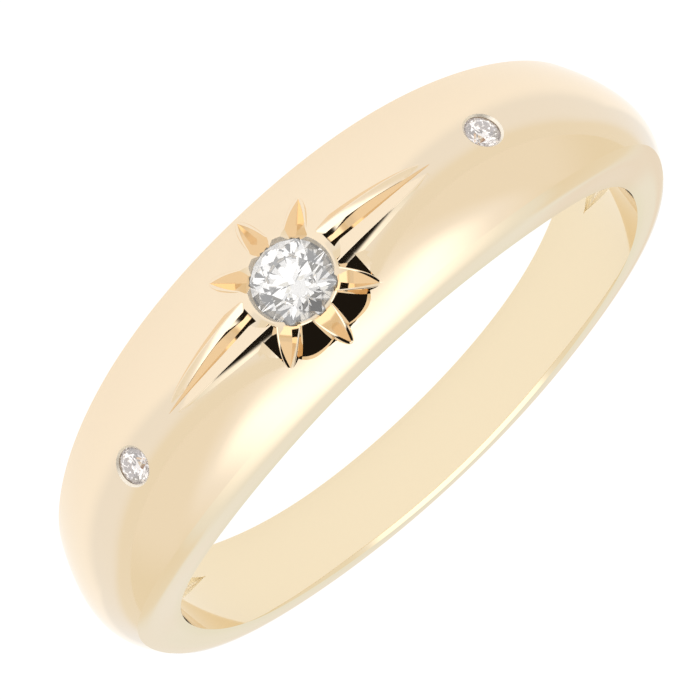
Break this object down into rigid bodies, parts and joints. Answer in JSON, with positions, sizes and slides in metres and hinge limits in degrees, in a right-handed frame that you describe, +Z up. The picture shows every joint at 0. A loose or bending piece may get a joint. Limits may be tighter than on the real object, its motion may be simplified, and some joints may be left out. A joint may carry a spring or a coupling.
{
  "type": "dome ring",
  "caption": "Polished gold dome ring with a raised star collar round a brilliant and a small flush-set stone on each side, lying on its side.",
  "frame": {"origin": "on the surface that the ring lies on, under the middle of its bounding box", "axes": "+Z up from that surface, +X towards the star on the dome, +Y along the band from the star; the finger axis leans 4 degrees from +Z towards -X"},
  "size_m": [0.0204, 0.0208, 0.0053],
  "materials": {
    "gold": "polished",
    "diamond": "faceted"
  },
  "bodies": {
    "root": {"ring_band": "gold", "centre_stone": "diamond", "side_stone_left": "diamond", "side_stone_right": "diamond"}
  },
  "joints": []
}
